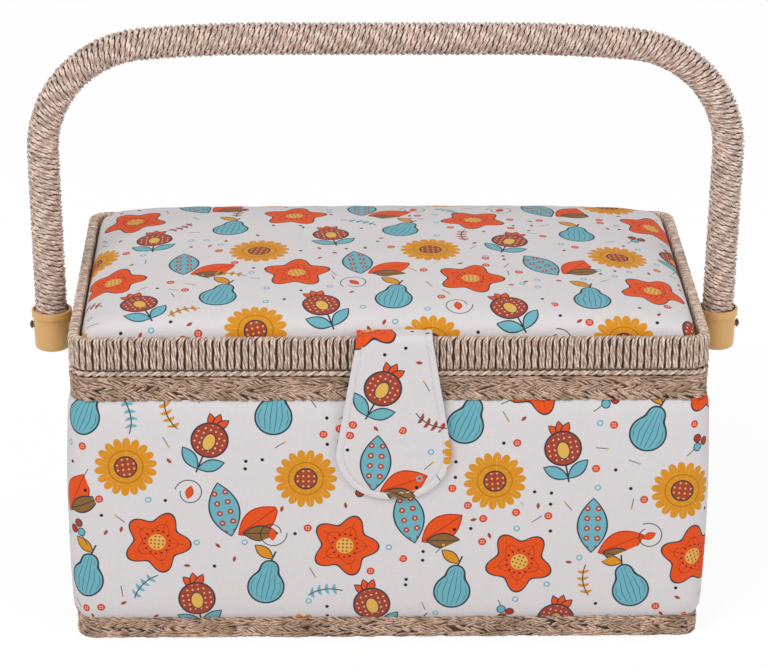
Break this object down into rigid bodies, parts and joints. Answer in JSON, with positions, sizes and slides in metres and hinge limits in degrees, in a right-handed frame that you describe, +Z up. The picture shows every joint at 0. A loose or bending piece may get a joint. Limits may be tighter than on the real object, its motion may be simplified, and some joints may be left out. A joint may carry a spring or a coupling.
{
  "type": "sewing box",
  "caption": "Rectangular padded sewing case with a hinged lid, rope-wound rim, magnetic front flap and an arched rope-wound carrying handle that swings back as the lid opens.",
  "frame": {"origin": "middle of the underside, on the surface that the case stands on", "axes": "+Z up, +X to the right along the case's width and the handle, -Y towards the front with the flap, +Y towards the hinges"},
  "size_m": [0.3506, 0.1897, 0.2818],
  "materials": {
    "fibreboard": "raw hardboard",
    "printed_cloth": "printed linen-look cotton",
    "satin": "satin lining",
    "wadding": "polyester wadding",
    "cushion_cloth": "stuffed cotton",
    "paper_rope": "twisted two-ply rope with a slight sheen",
    "felt": "non-woven felt",
    "tan_plastic": "tan moulded plastic, slightly glossy",
    "core_plastic": "moulded plastic rod",
    "steel": "plated steel",
    "bronzed_steel": "dark bronzed steel",
    "brass": "brass-plated steel"
  },
  "bodies": {
    "case": {"base_board": "fibreboard", "front_board": "fibreboard", "back_board": "fibreboard", "left_board": "fibreboard", "right_board": "fibreboard", "corner_strips": "fibreboard", "case_cover": "printed_cloth", "case_lining": "satin", "upper_braid": "paper_rope", "lower_braid": "paper_rope", "edge_cord": "paper_rope", "underside_felt": "felt", "strike_plate": "steel", "pivot_screws": "bronzed_steel", "pivot_spacers": "tan_plastic", "pivot_washers": "steel", "pivot_nuts": "steel", "left_hinge_case_leaf": "brass", "right_hinge_case_leaf": "brass", "left_hinge_pin": "steel", "right_hinge_pin": "steel", "case_hinge_screws": "brass"},
    "lid": {"lid_frame": "fibreboard", "lid_rope_winding": "paper_rope", "lid_board": "fibreboard", "lid_pad": "wadding", "lid_cover": "printed_cloth", "lid_lining": "satin", "lid_pocket": "satin", "pincushion": "cushion_cloth", "left_hinge_lid_leaf": "brass", "right_hinge_lid_leaf": "brass", "lid_hinge_screws": "brass", "flap_tab": "printed_cloth"},
    "flap": {"flap_tongue": "printed_cloth", "flap_magnet": "steel"},
    "handle": {"handle_core": "core_plastic", "handle_winding": "paper_rope", "left_handle_cap": "tan_plastic", "right_handle_cap": "tan_plastic"}
  },
  "joints": [
    {"name": "lid_hinge", "type": "hinge", "parent": "case", "child": "lid", "pos_m": [0, 0.0929, 0.13925], "axis": [-1, 0, 0], "range_deg": [0, 100]},
    {"name": "flap_hinge", "type": "hinge", "parent": "lid", "child": "flap", "pos_m": [0, -0.09405, 0.1569], "axis": [-1, 0, 0], "range_deg": [0, 110]},
    {"name": "handle_swing", "type": "hinge", "parent": "case", "child": "handle", "pos_m": [0, 0, 0.128], "axis": [-1, 0, 0], "range_deg": [0, 115]}
  ],
  "couplings": [
    {"joint": "handle_swing", "follows": "lid_hinge", "ratio": 1.15}
  ]
}
